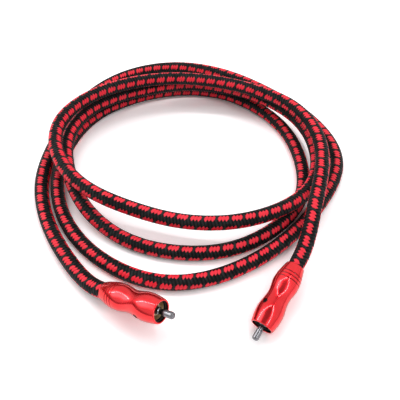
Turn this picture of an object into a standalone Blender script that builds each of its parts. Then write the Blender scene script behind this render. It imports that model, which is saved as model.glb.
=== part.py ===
# Audio interconnect cable: a thick braided lead lying in four loose coils, with a
# screw-locking phono plug on each end. Metres, +Z up, resting on the plane z = 0.
# Each plug is turned about its own axis: z = 0 at the shell's rear edge, +z to the pin's tip.

import math

import bmesh
import bpy
import numpy as np
from mathutils import Vector

fit = 0.0003                    # clearance between pieces that slide, turn or seat on each other

# the lead
cable_diameter = 0.008
entry_diameter = 0.0075         # the braid is squeezed where it goes into a plug
jacket_diameter = 0.006
dielectric_diameter = 0.0032
conductor_diameter = 0.001
sleeve_end = 0.005              # how far the braided lead reaches into the shell
straight_out = 0.0035           # the lead runs straight this far behind the shell
points_per_loop = 24
coil_sides = 6
lead_sides = 8
lead_step = 0.012
lead_length_a = 0.062
lead_length_b = 0.070

# where the plugs lie: rear edge of the shell, heading and tilt, and the set screw's roll
plugs = {
    "a": {"rear": (-0.04573, 0.00373, 0.00912), "azimuth": -29.0, "tilt": 19.0, "roll": 268.0},
    "b": {"rear": (0.04444, 0.01563, 0.01117), "azimuth": -123.2, "tilt": -9.7, "roll": 219.0},
}

# the coils, seen from above, clockwise from plug a: radius and height at each spoke
coil_centre = (-0.0095, 0.0973)
spoke_step = -24.0
first_spoke = 216.0
lead_a_point = (231.0, 0.094, 0.0046)
lead_b_point = (-1117.0, 0.084, 0.0192)
turns = (
    ((0.0900, 0.0034), (0.0875, 0.0032), (0.0865, 0.0032), (0.0930, 0.0032), (0.1010, 0.0032),
     (0.1015, 0.0032), (0.0945, 0.0032), (0.0890, 0.0032), (0.0910, 0.0032), (0.0925, 0.0032),
     (0.0840, 0.0032), (0.0805, 0.0032), (0.0825, 0.0032), (0.0860, 0.0032), (0.0840, 0.0032)),
    ((0.0810, 0.0032), (0.0785, 0.0032), (0.0770, 0.0032), (0.0760, 0.0032), (0.0730, 0.0032),
     (0.0720, 0.0032), (0.0715, 0.0032), (0.0700, 0.0032), (0.0695, 0.0032), (0.0700, 0.0032),
     (0.0725, 0.0032), (0.0715, 0.0032), (0.0700, 0.0032), (0.0680, 0.0032), (0.0680, 0.0040)),
    ((0.0690, 0.0080), (0.0705, 0.0115), (0.0745, 0.0122), (0.0735, 0.0122), (0.0670, 0.0122),
     (0.0650, 0.0122), (0.0660, 0.0122), (0.0700, 0.0122), (0.0755, 0.0122), (0.0775, 0.0122),
     (0.0760, 0.0122), (0.0675, 0.0132), (0.0600, 0.0140), (0.0555, 0.0142), (0.0565, 0.0160)),
    ((0.0650, 0.0198), (0.0735, 0.0212), (0.0785, 0.0212), (0.0730, 0.0212), (0.0650, 0.0212),
     (0.0600, 0.0212), (0.0590, 0.0212), (0.0635, 0.0212), (0.0725, 0.0212), (0.0775, 0.0212),
     (0.0800, 0.0210)),
)

# the shell's waisted outside
rear_bulge_at = 0.0101
rear_bulge_to_waist = 0.0072
waist_to_front_bulge = 0.0088
front_bulge_to_mouth = 0.0075
rear_lip_wall = 0.0006
rear_bulge_wall = 0.00135
waist_wall = 0.00045
front_bulge_wall = 0.0007
mouth_wall = 0.00045            # of the lip that closes in front of the ring
mouth_lip_length = 0.0007       # the nose is rounded over it
nose_wall = 0.0003
grip_grooves = 3
grip_first = 0.00505
grip_pitch = 0.0018
grip_width = 0.0005
grip_depth = 0.0003

# what meets the jack
pin_radius = 0.0016
pin_reach = 0.0068              # beyond the shell's mouth
pin_tip_round = 0.0011
pin_head_length = 0.0051
pin_neck_length = 0.0024        # slimmer, just beyond the mouth
pin_neck_step = 0.0003
pin_cup_wall = 0.0005           # round the solder cup in the pin's shank
cup_depth = 0.003
shank_length = 0.0035
jack_radius = 0.0041            # bore of the contact sleeve, which springs open over the jack
sleeve_wall = 0.0003
sleeve_root = 0.0013            # unslotted length of the sleeve
slot_width = 0.001
slot_turn = 30.0                # of the sleeve's slots and the ring's keys about the plug
collar_wall = 0.0007
collar_length = 0.0025

# the lock: the shell screws along the core and carries the squeeze ring with it
lock_travel = 0.0006
thread_runout = 0.001
bore_step = 0.0003              # the shell's bore opens in front of the thread
ring_wall = 0.0003
ring_length = 0.0045
ring_lip = 0.0003
ring_lip_cover = 0.0001         # how far the lip covers the sleeve's rim
ring_flange = 0.0005
ring_flange_length = 0.0012
key_width = 0.0004
key_length = 0.0025
key_reach = 0.0002              # depth of a key in its slot

# the set screw that stops the shell
screw_setback = 0.0019          # behind the barrel's front
screw_hole_radius = 0.00115
screw_tip_step = 0.00025
screw_recess = 0.0003
socket_radius = 0.00042
socket_depth = 0.0005
groove_depth = 0.0008

# the core and what it holds
nose_length = 0.0084            # from the barrel's front to the shell's mouth
cup_setback = 0.0015            # from the end of the braid to the core's cup
cup_wall = 0.0006
cup_slot_width = 0.0012
cup_slot_length = 0.005
jacket_grip = 0.0047            # jacket inside the cup
shield_length = 0.0014
shield_wall = 0.0008
shoulder_length = 0.002
shoulder_step = 0.0008
spigot_length = 0.0018
spigot_wall = 0.0005
clamp_setback = 0.0015
clamp_length = 0.003
clamp_wall = 0.0005
insulator_flange = 0.0007

shell_sides = 32
fine_sides = 24
small_sides = 16
merge = 0.00001

# sizes that follow, out from the axis
entry_bore = entry_diameter / 2 + fit
rear_radius = entry_bore + rear_lip_wall
rear_bore = jacket_diameter / 2 + fit
shoulder_radius = rear_bore - shoulder_step
cup_radius = rear_bore + cup_wall
clamp_bore = cup_radius + fit
thread_radius = clamp_bore + clamp_wall
thread_bore = thread_radius + fit
groove_radius = thread_radius - groove_depth
spigot_radius = jack_radius - fit
front_bore = spigot_radius - spigot_wall
solder_bore = conductor_diameter / 2 + fit
shank_radius = solder_bore + pin_cup_wall
sleeve_radius = jack_radius + sleeve_wall
ring_bore = sleeve_radius + fit
ring_radius = ring_bore + ring_wall
flange_radius = ring_radius + ring_flange
flange_bore = flange_radius + fit
nose_bore = ring_radius + fit
nose_radius = nose_bore + nose_wall
mouth_radius = ring_bore + mouth_wall
rear_bulge_radius = thread_bore + rear_bulge_wall
waist_radius = thread_bore + waist_wall
front_bulge_radius = flange_bore + front_bulge_wall
screw_radius = screw_hole_radius - fit
screw_tip_radius = screw_radius - screw_tip_step

# sizes that follow, along the axis
waist_at = rear_bulge_at + rear_bulge_to_waist
front_bulge_at = waist_at + waist_to_front_bulge
mouth = front_bulge_at + front_bulge_to_mouth
core_rear = sleeve_end + cup_setback
jacket_end = core_rear + jacket_grip
shield_end = jacket_end + fit + shield_length
barrel_rear = shield_end + 2 * fit
barrel_front = mouth - nose_length
spigot_front = barrel_front + spigot_length
screw_at = barrel_front - screw_setback
groove_rear = screw_at - lock_travel - screw_tip_radius - 2 * fit
groove_front = screw_at + screw_tip_radius + 2 * fit
thread_front = groove_rear - thread_runout
lip_at = mouth - mouth_lip_length
ring_front = lip_at - fit
ring_rear = ring_front - ring_length
lip_rear = ring_front - ring_lip
sleeve_front = lip_rear - fit - lock_travel
sleeve_rear = barrel_front + fit
insulator_rear = barrel_rear + shoulder_length
flange_rear = spigot_front + fit
insulator_front = flange_rear + insulator_flange
pin_rear = barrel_rear + 2 * fit
pin_step_at = insulator_rear + shank_length
pin_tip = mouth + pin_reach
pin_neck_front = pin_tip - pin_head_length
pin_neck_rear = pin_neck_front - pin_neck_length
pin_neck_radius = pin_radius - pin_neck_step

for old in list(bpy.data.objects):
    bpy.data.objects.remove(old, do_unlink=True)
part = bpy.data.collections.new("interconnect_cable")
cutters = bpy.data.collections.new("cutters")
bpy.context.scene.collection.children.link(part)
bpy.context.scene.collection.children.link(cutters)


def paint(name, colour, roughness, metallic):
    material = bpy.data.materials.new(name)
    material.use_nodes = True
    shader = material.node_tree.nodes["Principled BSDF"]
    shader.inputs["Base Color"].default_value = (*colour, 1)
    shader.inputs["Roughness"].default_value = roughness
    shader.inputs["Metallic"].default_value = metallic
    material.diffuse_color = (*colour, 1)
    return material


paints = {
    "red_shell": paint("red_shell", (0.62, 0.01, 0.02), 0.15, 0.6),
    "braid": paint("braid", (0.33, 0.02, 0.03), 0.75, 0.0),
    "black_nylon": paint("black_nylon", (0.02, 0.02, 0.02), 0.45, 0.0),
    "gold_plate": paint("gold_plate", (0.76, 0.55, 0.22), 0.25, 1.0),
    "nickel": paint("nickel", (0.62, 0.61, 0.60), 0.25, 1.0),
    "dark_steel": paint("dark_steel", (0.05, 0.05, 0.05), 0.4, 1.0),
    "black_jacket": paint("black_jacket", (0.03, 0.03, 0.03), 0.6, 0.0),
    "clear_foam": paint("clear_foam", (0.85, 0.85, 0.82), 0.5, 0.0),
    "copper": paint("copper", (0.75, 0.35, 0.2), 0.3, 1.0),
}


def turned(name, profile, sides, home, hollow=True):
    """A piece turned about local z. The profile's (z, radius) points run down its outside."""
    mesh = bpy.data.meshes.new(name)
    corners = [(radius, 0.0, height) for height, radius in profile]
    edges = [(i, i + 1) for i in range(len(corners) - 1)]
    if hollow:
        edges.append((len(corners) - 1, 0))
    mesh.from_pydata(corners, edges, [])
    piece = bpy.data.objects.new(name, mesh)
    home.objects.link(piece)
    screw = piece.modifiers.new("turn", "SCREW")
    screw.axis = "Z"
    screw.angle = math.tau
    screw.steps = sides
    screw.render_steps = sides
    screw.use_merge_vertices = True
    screw.merge_threshold = merge
    screw.use_smooth_shade = True
    return piece


def washer(low, high, inner, outer):
    """Profile of a plain ring."""
    return [(high, outer), (low, outer), (low, inner), (high, inner)]


def rod(low, high, radius):
    """Profile of a plain solid cylinder."""
    return [(high, 0.0), (high, radius), (low, radius), (low, 0.0)]


def block(name, size, centre, home):
    """A box with its size applied, centred in the plug's own frame."""
    bpy.ops.mesh.primitive_cube_add(size=1)
    box = bpy.context.active_object
    box.name = name
    for holder in list(box.users_collection):
        holder.objects.unlink(box)
    home.objects.link(box)
    for vertex in box.data.vertices:
        vertex.co = Vector(centre) + Vector(a * b for a, b in zip(vertex.co, size))
    return box


def combine(piece, tool, operation):
    """Boolean with a tool that stays out of the model."""
    tool.hide_render = True
    tool.display_type = "WIRE"
    step = piece.modifiers.new(tool.name, "BOOLEAN")
    step.operation = operation
    step.object = tool
    step.solver = "EXACT"


def mount_on(axis, material, *pieces):
    for piece in pieces:
        piece.parent = axis
        if material:
            piece.data.materials.append(paints[material])


def wave(start, end, share):
    """Half a cosine from one radius to the next, level at both ends."""
    return start + (end - start) * (1 - math.cos(math.pi * share)) / 2


def shell_radius(at):
    """The outside of the shell: a rising rear, a bulge, a waist, a bulge and a rounded nose."""
    if at < rear_bulge_at:
        return rear_radius + (rear_bulge_radius - rear_radius) * math.sin(math.pi / 2 * at / rear_bulge_at)
    if at < waist_at:
        return wave(rear_bulge_radius, waist_radius, (at - rear_bulge_at) / (waist_at - rear_bulge_at))
    if at < front_bulge_at:
        return wave(waist_radius, front_bulge_radius, (at - waist_at) / (front_bulge_at - waist_at))
    if at < lip_at:
        share = (at - front_bulge_at) / (lip_at - front_bulge_at)
        return nose_radius + (front_bulge_radius - nose_radius) * math.cos(math.pi / 2 * share)
    share = min((at - lip_at) / mouth_lip_length, 1)
    return mouth_radius + (nose_radius - mouth_radius) * math.sqrt(1 - share ** 2)


def shell_outside():
    """Outline from the mouth to the rear edge, with the grip grooves cut in."""
    bends = ((0, rear_bulge_at, 5), (rear_bulge_at, waist_at, 4), (waist_at, front_bulge_at, 4),
             (front_bulge_at, lip_at, 4), (lip_at, mouth, 3))
    stations = [low + (high - low) * i / cuts for low, high, cuts in bends for i in range(cuts)] + [mouth]
    grooves = [grip_first + grip_pitch * i for i in range(grip_grooves)]
    clear = [at for at in stations if all(abs(at - groove) > grip_width for groove in grooves)]
    outline = [(at, shell_radius(at)) for at in clear]
    for groove in grooves:
        for side in (-grip_width / 2, grip_width / 2):
            outline.append((groove + side, shell_radius(groove + side)))
        outline.append((groove, shell_radius(groove) - grip_depth))
    return sorted(outline, reverse=True)


def make_shell(tag, turning):
    inside = [
        (0.0, entry_bore), (sleeve_end + fit, entry_bore), (sleeve_end + 3 * fit, thread_bore),
        (thread_front, thread_bore), (thread_front, thread_bore + bore_step),
        (ring_rear - fit, thread_bore + bore_step), (ring_rear - fit, flange_bore),
        (ring_rear + ring_flange_length + fit, flange_bore),
        (ring_rear + ring_flange_length + fit, nose_bore), (lip_at, nose_bore),
        (lip_at, ring_bore), (mouth, ring_bore),
    ]
    shell = turned("shell_" + tag, shell_outside() + inside, shell_sides, part)
    hole = turned("screw_hole_" + tag, rod(thread_bore, 2 * front_bulge_radius, screw_hole_radius),
                  small_sides, cutters, hollow=False)
    lay_across(hole)
    combine(shell, hole, "DIFFERENCE")
    mount_on(turning, "red_shell", shell)
    mount_on(turning, None, hole)


def lay_across(piece):
    """Turn a piece made along z so that it points out along the plug's local x at the screw."""
    piece.rotation_euler = (0, math.pi / 2, 0)
    piece.location = (0, 0, screw_at)


def make_set_screw(tag, turning):
    tip = groove_radius + fit
    neck = thread_radius + fit
    head = shell_radius(screw_at) - screw_recess
    outline = [(head, 0.0), (head, screw_radius), (neck, screw_radius), (neck, screw_tip_radius),
               (tip, screw_tip_radius), (tip, 0.0)]
    screw = turned("set_screw_" + tag, outline, small_sides, part, hollow=False)
    socket = turned("socket_" + tag, rod(head - socket_depth, head + socket_depth, socket_radius),
                    6, cutters, hollow=False)
    lay_across(screw)
    lay_across(socket)
    combine(screw, socket, "DIFFERENCE")
    mount_on(turning, "dark_steel", screw)
    mount_on(turning, None, socket)


def make_squeeze_ring(tag, axis):
    """Nylon collar carried by the shell; its keys run in the contact sleeve's slots."""
    flange_front = ring_rear + ring_flange_length
    lip_radius = sleeve_radius - ring_lip_cover
    outline = [(ring_front, ring_radius), (flange_front, ring_radius), (flange_front, flange_radius),
               (ring_rear, flange_radius), (ring_rear, ring_bore), (lip_rear, ring_bore),
               (lip_rear, lip_radius), (ring_front, lip_radius)]
    ring = turned("squeeze_ring_" + tag, outline, fine_sides, part)
    key_tip = sleeve_radius - key_reach
    key_depth = ring_bore + ring_wall / 2 - key_tip
    low = lip_rear - key_length
    high = lip_rear + ring_lip / 2
    for side in (-1, 1):
        centre = (side * (key_tip + key_depth / 2), 0, (low + high) / 2)
        size = (key_depth, key_width, high - low)
        key = block(f"key_{tag}_{side}", size, centre, cutters)
        combine(ring, key, "UNION")
        mount_on(axis, None, key)
    mount_on(axis, "black_nylon", ring)


def make_contact_sleeve(tag, axis):
    sleeve = turned("contact_sleeve_" + tag, washer(sleeve_rear, sleeve_front, jack_radius, sleeve_radius),
                    fine_sides, part)
    low = sleeve_rear + sleeve_root
    middle = (0, 0, (low + mouth) / 2)
    reach = 4 * sleeve_radius
    for number, size in enumerate(((reach, slot_width), (slot_width, reach))):
        saw = block(f"sleeve_saw_{tag}_{number}", (*size, mouth - low), middle, cutters)
        combine(sleeve, saw, "DIFFERENCE")
        mount_on(axis, None, saw)
    mount_on(axis, "gold_plate", sleeve)


def make_core(tag, axis):
    """Threaded brass body: a split cup grips the jacket, a spigot carries the contact sleeve."""
    outline = [
        (spigot_front, spigot_radius), (barrel_front, spigot_radius), (barrel_front, thread_radius),
        (groove_front, thread_radius), (groove_front, groove_radius), (groove_rear, groove_radius),
        (groove_rear, thread_radius), (barrel_rear, thread_radius), (barrel_rear, cup_radius),
        (core_rear, cup_radius), (core_rear, rear_bore),
        (barrel_rear - fit, rear_bore), (barrel_rear - fit, shoulder_radius),
        (insulator_rear - fit, shoulder_radius), (insulator_rear - fit, front_bore),
        (spigot_front, front_bore),
    ]
    core = turned("plug_core_" + tag, outline, fine_sides, part)
    saw = block("cup_saw_" + tag, (4 * cup_radius, cup_slot_width, cup_slot_length + fit),
                (0, 0, core_rear + (cup_slot_length - fit) / 2), cutters)
    combine(core, saw, "DIFFERENCE")
    mount_on(axis, None, saw)
    mount_on(axis, "gold_plate", core)


def make_contacts(tag, axis):
    """Insulator, centre pin and the gold collar at the pin's foot."""
    shank_bore = shank_radius + fit
    step = pin_step_at - fit
    outline = [
        (insulator_front, spigot_radius), (flange_rear, spigot_radius),
        (flange_rear, front_bore - fit), (insulator_rear, front_bore - fit),
        (insulator_rear, shank_bore), (step, shank_bore), (step, pin_radius + fit),
        (insulator_front, pin_radius + fit),
    ]
    insulator = turned("insulator_" + tag, outline, fine_sides, part)
    mount_on(axis, "black_nylon", insulator)

    nose = [(pin_tip - pin_tip_round * (1 - math.cos(a)),
             pin_radius - pin_tip_round * (1 - math.sin(a)))
            for a in (math.radians(turn) for turn in (0, 30, 60, 90))]
    outline = [(pin_tip, 0.0), *nose, (pin_neck_front + pin_neck_step, pin_radius),
               (pin_neck_front, pin_neck_radius), (pin_neck_rear, pin_neck_radius),
               (pin_neck_rear - pin_neck_step, pin_radius),
               (pin_step_at, pin_radius), (pin_step_at, shank_radius),
               (pin_rear, shank_radius), (pin_rear, solder_bore),
               (pin_rear + cup_depth, solder_bore), (pin_rear + cup_depth, 0.0)]
    pin = turned("centre_pin_" + tag, outline, fine_sides, part, hollow=False)
    mount_on(axis, "nickel", pin)

    low = insulator_front + fit
    bore = pin_radius + fit
    collar = turned("pin_collar_" + tag, washer(low, low + collar_length, bore, bore + collar_wall),
                    fine_sides, part)
    mount_on(axis, "gold_plate", collar)


def make_cable_end(tag, axis):
    """The stripped cable inside the plug, and the clamp over the core's cup."""
    jacket = turned("inner_jacket_" + tag, rod(sleeve_end + fit, jacket_end, jacket_diameter / 2),
                    small_sides, part, hollow=False)
    mount_on(axis, "black_jacket", jacket)
    shield_bore = dielectric_diameter / 2 + fit
    shield = turned("shield_braid_" + tag, washer(jacket_end + fit, shield_end, shield_bore,
                                                  shield_bore + shield_wall),
                    small_sides, part)
    mount_on(axis, "nickel", shield)
    dielectric = turned("dielectric_" + tag, rod(jacket_end + fit, pin_rear - fit, dielectric_diameter / 2),
                        small_sides, part, hollow=False)
    mount_on(axis, "clear_foam", dielectric)
    wire = turned("conductor_" + tag, rod(pin_rear, pin_rear + cup_depth - fit, conductor_diameter / 2),
                  small_sides, part, hollow=False)
    mount_on(axis, "copper", wire)
    low = core_rear + clamp_setback
    clamp = turned("cable_clamp_" + tag, washer(low, low + clamp_length, clamp_bore, thread_radius),
                   fine_sides, part)
    mount_on(axis, "nickel", clamp)


def empty(name, location, rotation, parent=None):
    marker = bpy.data.objects.new(name, None)
    marker.empty_display_size = mouth / 4
    marker.location = location
    marker.rotation_euler = rotation
    marker.parent = parent
    part.objects.link(marker)
    return marker


def make_plug(tag, lie):
    turn = (0, math.radians(90 - lie["tilt"]), math.radians(lie["azimuth"]))
    axis = empty(f"plug_{tag}_axis", lie["rear"], turn)
    turning = empty(f"shell_{tag}_axis", (0, 0, 0), (0, 0, math.radians(lie["roll"])), axis)
    slots = empty(f"slots_{tag}_axis", (0, 0, 0), (0, 0, math.radians(slot_turn)), axis)
    make_shell(tag, turning)
    make_set_screw(tag, turning)
    make_squeeze_ring(tag, slots)
    make_contact_sleeve(tag, slots)
    make_core(tag, axis)
    make_contacts(tag, axis)
    make_cable_end(tag, axis)


def heading(lie):
    """Unit vector along a plug, from its rear to its pin."""
    azimuth = math.radians(lie["azimuth"])
    tilt = math.radians(lie["tilt"])
    return np.array((math.cos(azimuth) * math.cos(tilt), math.sin(azimuth) * math.cos(tilt), math.sin(tilt)))


def spoke(angle, radius, height):
    angle = math.radians(angle)
    return (coil_centre[0] + radius * math.cos(angle), coil_centre[1] + radius * math.sin(angle), height)


def route_points():
    """The lead's centre line from behind plug a, round the coils, to behind plug b."""
    ends = {tag: np.array(lie["rear"]) - straight_out * heading(lie) for tag, lie in plugs.items()}
    points = [ends["a"], spoke(*lead_a_point)]
    angle = first_spoke
    for turn in turns:
        for radius, height in turn:
            points.append(spoke(angle, radius, height))
            angle += spoke_step
    points += [spoke(*lead_b_point), ends["b"]]
    return np.array(points)


def smooth(points, leave, arrive, cuts):
    """Cubic spline through the points, with its two end directions given."""
    gaps = np.linalg.norm(np.diff(points, axis=0), axis=1)
    slopes = np.diff(points, axis=0) / gaps[:, None]
    count = len(points)
    system = np.zeros((count, count))
    target = np.zeros((count, 3))
    system[0, :2] = 2 * gaps[0], gaps[0]
    system[-1, -2:] = gaps[-1], 2 * gaps[-1]
    target[0] = 6 * (slopes[0] - leave)
    target[-1] = 6 * (arrive - slopes[-1])
    for i in range(1, count - 1):
        system[i, i - 1:i + 2] = gaps[i - 1], 2 * (gaps[i - 1] + gaps[i]), gaps[i]
        target[i] = 6 * (slopes[i] - slopes[i - 1])
    bends = np.linalg.solve(system, target)
    curve = []
    for i in range(count - 1):
        for cut in range(cuts):
            b = cut / cuts
            a = 1 - b
            bulge = (a ** 3 - a) * bends[i] + (b ** 3 - b) * bends[i + 1]
            curve.append(a * points[i] + b * points[i + 1] + bulge * gaps[i] ** 2 / 6)
    curve.append(points[-1])
    return np.array(curve)


def along(curve, marks):
    """Points at given distances along a fine curve."""
    walked = np.concatenate(([0], np.cumsum(np.linalg.norm(np.diff(curve, axis=0), axis=1))))
    return np.column_stack([np.interp(marks, walked, curve[:, i]) for i in range(3)])


def length_of(points):
    return float(np.linalg.norm(np.diff(points, axis=0), axis=1).sum())


def tube(name, points, radii, sides):
    """A poly curve with filled caps, six or eight sided."""
    curve = bpy.data.curves.new(name, "CURVE")
    curve.dimensions = "3D"
    curve.bevel_depth = cable_diameter / 2
    curve.bevel_resolution = sides // 2 - 2
    curve.use_fill_caps = True
    spline = curve.splines.new("POLY")
    spline.points.add(len(points) - 1)
    for target, point, radius in zip(spline.points, points, radii):
        target.co = (*point, 1)
        target.radius = radius
    piece = bpy.data.objects.new(name, curve)
    part.objects.link(piece)
    return piece


def make_solid(piece):
    """Turn a tube into a closed mesh of the same name."""
    evaluated = piece.evaluated_get(bpy.context.evaluated_depsgraph_get())
    mesh = bpy.data.meshes.new_from_object(evaluated)
    welded = bmesh.new()
    welded.from_mesh(mesh)
    bmesh.ops.remove_doubles(welded, verts=welded.verts, dist=merge)
    welded.to_mesh(mesh)
    welded.free()
    name = piece.name
    solid = bpy.data.objects.new(name + "_solid", mesh)
    solid.matrix_world = piece.matrix_world
    bpy.data.objects.remove(piece, do_unlink=True)
    solid.name = name
    part.objects.link(solid)


def least_gap(line):
    """Smallest space between two passes of the lead, measured on points along its centre."""
    steps = int(length_of(line) / (cable_diameter / 4))
    marks = np.linspace(0, length_of(line), steps)
    points = along(line, marks)
    nearest = 1.0
    for mark, point in zip(marks, points):
        others = points[np.abs(marks - mark) > 4 * cable_diameter]
        nearest = min(nearest, float(np.linalg.norm(others - point, axis=1).min()))
    return nearest - cable_diameter


def make_lead():
    """The braided lead: one coil solid and the free stretch to each plug, face to face."""
    head_a = heading(plugs["a"])
    head_b = heading(plugs["b"])
    fine = smooth(route_points(), -head_a, head_b, 24)
    whole = length_of(fine)
    loops = abs(len([p for turn in turns for p in turn]) * spoke_step) / 360
    marks = np.linspace(lead_length_a, whole - lead_length_b,
                        round(loops * points_per_loop * (whole - lead_length_a - lead_length_b) / whole))
    coil = along(fine, marks)
    coil_start = coil[0] + (coil[1] - coil[0]) / np.linalg.norm(coil[1] - coil[0]) * fit
    coil_finish = coil[-1] + (coil[-2] - coil[-1]) / np.linalg.norm(coil[-2] - coil[-1]) * fit
    back_a = coil[0] - (coil[1] - coil[0]) / np.linalg.norm(coil[1] - coil[0]) * cable_diameter
    back_b = coil[-1] - (coil[-2] - coil[-1]) / np.linalg.norm(coil[-2] - coil[-1]) * cable_diameter

    count_a = round((lead_length_a - cable_diameter) / lead_step)
    stretch_a = along(fine, np.linspace(0, lead_length_a - cable_diameter, count_a)[:-1])
    count_b = round((lead_length_b - cable_diameter) / lead_step)
    stretch_b = along(fine, np.linspace(whole, whole - lead_length_b + cable_diameter, count_b)[:-1])

    floor = block("floor_cut", (1, 1, cable_diameter), (0, 0, -cable_diameter / 2), cutters)
    neck = entry_diameter / cable_diameter
    solids = []
    for tag, stretch, back, end, head in (("a", stretch_a, back_a, coil[0], head_a),
                                          ("b", stretch_b, back_b, coil[-1], head_b)):
        rear = np.array(plugs[tag]["rear"])
        points = [rear + sleeve_end * head, rear - fit * head, *stretch, back, end]
        radii = [neck, neck] + [1.0] * (len(points) - 2)
        solids.append(tube("cable_lead_" + tag, points, radii, lead_sides))
    winding = [coil_start, *coil[1:-1], coil_finish]
    solids.append(tube("cable_coil", winding, [1.0] * len(winding), coil_sides))
    line = np.array([*stretch_a, back_a, *coil, back_b, *stretch_b[::-1]])
    print(f"lead {whole + 2 * (straight_out + sleeve_end):.3f} m long, "
          f"least gap to itself {least_gap(line) * 1000:.2f} mm")
    for piece in solids:
        piece.data.materials.append(paints["braid"])
        make_solid(piece)
    for resting in ("cable_lead_a", "cable_coil"):
        combine(part.objects[resting], floor, "DIFFERENCE")


for plug_tag, plug_lie in plugs.items():
    make_plug(plug_tag, plug_lie)
make_lead()
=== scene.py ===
import math

import bpy
import numpy as np
from mathutils import Matrix, Vector


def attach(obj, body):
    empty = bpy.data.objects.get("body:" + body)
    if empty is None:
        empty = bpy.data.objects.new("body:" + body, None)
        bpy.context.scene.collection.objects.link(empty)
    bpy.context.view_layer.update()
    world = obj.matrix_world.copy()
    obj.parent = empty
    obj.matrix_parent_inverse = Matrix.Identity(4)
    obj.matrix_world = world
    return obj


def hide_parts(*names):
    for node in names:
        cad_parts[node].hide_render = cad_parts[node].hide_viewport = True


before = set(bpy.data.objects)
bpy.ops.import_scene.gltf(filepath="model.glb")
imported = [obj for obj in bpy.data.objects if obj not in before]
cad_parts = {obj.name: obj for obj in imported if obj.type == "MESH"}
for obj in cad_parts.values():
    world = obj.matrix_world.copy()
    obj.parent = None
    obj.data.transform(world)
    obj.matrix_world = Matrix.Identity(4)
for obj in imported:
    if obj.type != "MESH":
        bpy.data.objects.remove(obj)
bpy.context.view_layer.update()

mm = 0.001
weld = 0.001 * mm   # corners closer than this are one

# camera
camera = {
    "floorPoint": (-0.0015, 0.0673, 0.0),   # what it looks at
    "distance": 0.248,
    "elevation": 50,
    "lens": 38.43,
    "near": 0.01,
}


def addCamera():
    elevation = math.radians(camera["elevation"])
    back = Vector((0, -math.cos(elevation), math.sin(elevation))) * camera["distance"]
    bpy.ops.object.camera_add(location=Vector(camera["floorPoint"]) + back,
                              rotation=(math.pi / 2 - elevation, 0, 0))
    seen = bpy.context.object
    seen.data.lens = camera["lens"]
    seen.data.clip_start = camera["near"]
    bpy.context.scene.camera = seen


addCamera()

# where each plug lies, and where the lead runs: the same places as in the solids
plugs = {
    "a": {"rear": (-0.04573, 0.00373, 0.00912), "azimuth": -29.0, "tilt": 19.0, "screwTurn": 268.0},
    "b": {"rear": (0.04444, 0.01563, 0.01117), "azimuth": -123.2, "tilt": -9.7, "screwTurn": 219.0},
}
route = {
    "coilCentre": (-0.0095, 0.0973),
    "spokeStep": -24.0,
    "firstSpoke": 216.0,
    "leadA": (231.0, 0.094, 0.0046),    # angle, radius and height between plug a and the coil
    "leadB": (-1117.0, 0.084, 0.0192),  # and between the coil and plug b
    "straightOut": 3.5 * mm,    # how far the lead runs straight behind a shell
    "insideShell": 5.0 * mm,
    "cuts": 24,                 # of the line from one place to the next
    "turns": (                  # radius and height at each spoke, from the bottom turn up
        ((0.0900, 0.0034), (0.0875, 0.0032), (0.0865, 0.0032), (0.0930, 0.0032), (0.1010, 0.0032),
         (0.1015, 0.0032), (0.0945, 0.0032), (0.0890, 0.0032), (0.0910, 0.0032), (0.0925, 0.0032),
         (0.0840, 0.0032), (0.0805, 0.0032), (0.0825, 0.0032), (0.0860, 0.0032), (0.0840, 0.0032)),
        ((0.0810, 0.0032), (0.0785, 0.0032), (0.0770, 0.0032), (0.0760, 0.0032), (0.0730, 0.0032),
         (0.0720, 0.0032), (0.0715, 0.0032), (0.0700, 0.0032), (0.0695, 0.0032), (0.0700, 0.0032),
         (0.0725, 0.0032), (0.0715, 0.0032), (0.0700, 0.0032), (0.0680, 0.0032), (0.0680, 0.0040)),
        ((0.0690, 0.0080), (0.0705, 0.0115), (0.0745, 0.0122), (0.0735, 0.0122), (0.0670, 0.0122),
         (0.0650, 0.0122), (0.0660, 0.0122), (0.0700, 0.0122), (0.0755, 0.0122), (0.0775, 0.0122),
         (0.0760, 0.0122), (0.0675, 0.0132), (0.0600, 0.0140), (0.0555, 0.0142), (0.0565, 0.0160)),
        ((0.0650, 0.0198), (0.0735, 0.0212), (0.0785, 0.0212), (0.0730, 0.0212), (0.0650, 0.0212),
         (0.0600, 0.0212), (0.0590, 0.0212), (0.0635, 0.0212), (0.0725, 0.0212), (0.0775, 0.0212),
         (0.0800, 0.0210)),
    ),
}


def plugHeading(tag):
    azimuth = math.radians(plugs[tag]["azimuth"])
    tilt = math.radians(plugs[tag]["tilt"])
    return np.array((math.cos(azimuth) * math.cos(tilt), math.sin(azimuth) * math.cos(tilt), math.sin(tilt)))


def plugPlace(tag, turn=0.0):
    lie = plugs[tag]
    return (Matrix.Translation(lie["rear"])
            @ Matrix.Rotation(math.radians(lie["azimuth"]), 4, "Z")
            @ Matrix.Rotation(math.radians(90 - lie["tilt"]), 4, "Y")
            @ Matrix.Rotation(math.radians(turn), 4, "Z"))


def routePoints():
    def spoke(angle, radius, height):
        angle = math.radians(angle)
        return (route["coilCentre"][0] + radius * math.cos(angle),
                route["coilCentre"][1] + radius * math.sin(angle), height)

    ends = {tag: np.array(plugs[tag]["rear"]) - route["straightOut"] * plugHeading(tag) for tag in plugs}
    points = [ends["a"], spoke(*route["leadA"])]
    angle = route["firstSpoke"]
    for turn in route["turns"]:
        for radius, height in turn:
            points.append(spoke(angle, radius, height))
            angle += route["spokeStep"]
    points += [spoke(*route["leadB"]), ends["b"]]
    return np.array(points)


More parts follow.
